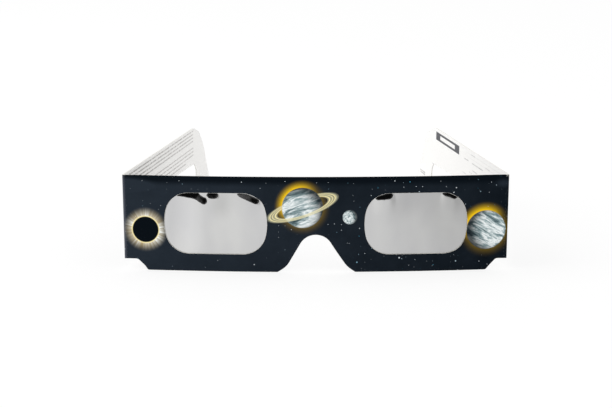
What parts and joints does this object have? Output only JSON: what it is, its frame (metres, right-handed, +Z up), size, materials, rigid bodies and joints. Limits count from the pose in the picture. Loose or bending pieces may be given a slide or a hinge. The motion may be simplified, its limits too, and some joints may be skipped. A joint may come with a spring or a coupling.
{
  "type": "eclipse glasses",
  "caption": "Folding card eclipse glasses with a bowed front, silver filter films shut between two plies, a nose notch and hooked arms that fold on scored creases.",
  "frame": {"origin": "centre of the whole object's footprint, on the surface that the front's bottom edge and the two hooks stand on", "axes": "+X to the right as seen from the front, +Y from the printed front back along the arms, +Z up"},
  "size_m": [0.143, 0.1288, 0.0362],
  "materials": {
    "printed_card": "satin",
    "flap_card": "satin",
    "arm_card": "matte",
    "filter_film": "gloss",
    "card_glue": "satin"
  },
  "bodies": {
    "front": {"front_panel": "printed_card", "top_fold": "printed_card", "left_crease": "printed_card", "right_crease": "printed_card", "back_panel": "flap_card", "left_film": "filter_film", "right_film": "filter_film", "glue_layer": "card_glue"},
    "left_temple": {"left_arm": "arm_card"},
    "right_temple": {"right_arm": "arm_card"}
  },
  "joints": [
    {"name": "left_arm_fold", "type": "hinge", "parent": "front", "child": "left_temple", "pos_m": [-0.0711, -0.05956, 0.02017], "axis": [0, 0, -1], "range_deg": [-93.5, 77.4]},
    {"name": "right_arm_fold", "type": "hinge", "parent": "front", "child": "right_temple", "pos_m": [0.0711, -0.05956, 0.02017], "axis": [0, 0, 1], "range_deg": [-93.5, 62.2]}
  ]
}
